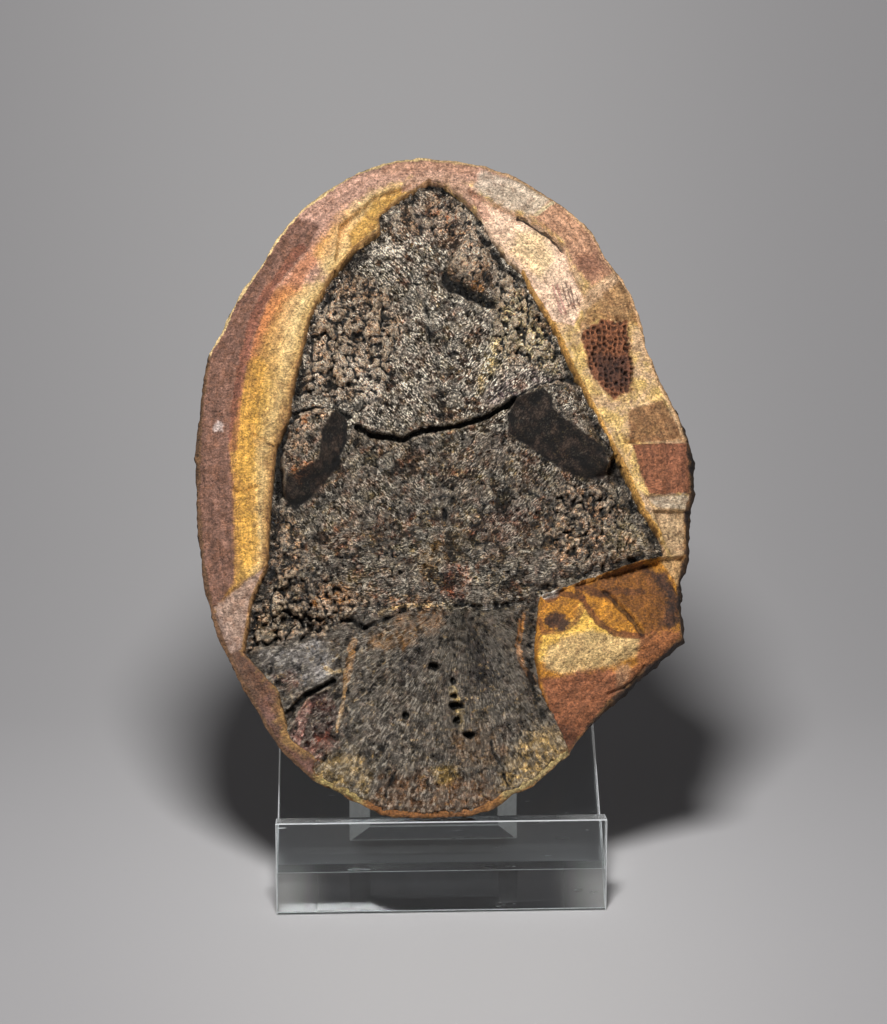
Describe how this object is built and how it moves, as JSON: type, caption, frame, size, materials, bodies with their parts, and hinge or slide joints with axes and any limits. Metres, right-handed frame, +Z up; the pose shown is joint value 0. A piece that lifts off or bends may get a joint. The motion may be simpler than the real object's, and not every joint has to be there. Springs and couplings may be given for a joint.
{
  "type": "fossil amphibian skull",
  "caption": "Half of a split ironstone nodule with a dark triangular amphibian skull on its face, leaning on a clear folded acrylic easel with a rear strut.",
  "frame": {"origin": "on the table under the middle of the whole display", "axes": "+Z up, -Y towards the viewer who looks at the skull, +X to that viewer's right"},
  "size_m": [0.1104, 0.0626, 0.1599],
  "materials": {
    "ironstone": "broken ironstone, ochre to purple-brown, with a near-black glossy skull",
    "clear_acrylic": "clear acrylic sheet with polished faces and sawn, frosted edges"
  },
  "bodies": {
    "root": {"skull_nodule": "ironstone", "easel_sheet": "clear_acrylic", "rear_strut": "clear_acrylic"}
  },
  "joints": []
}
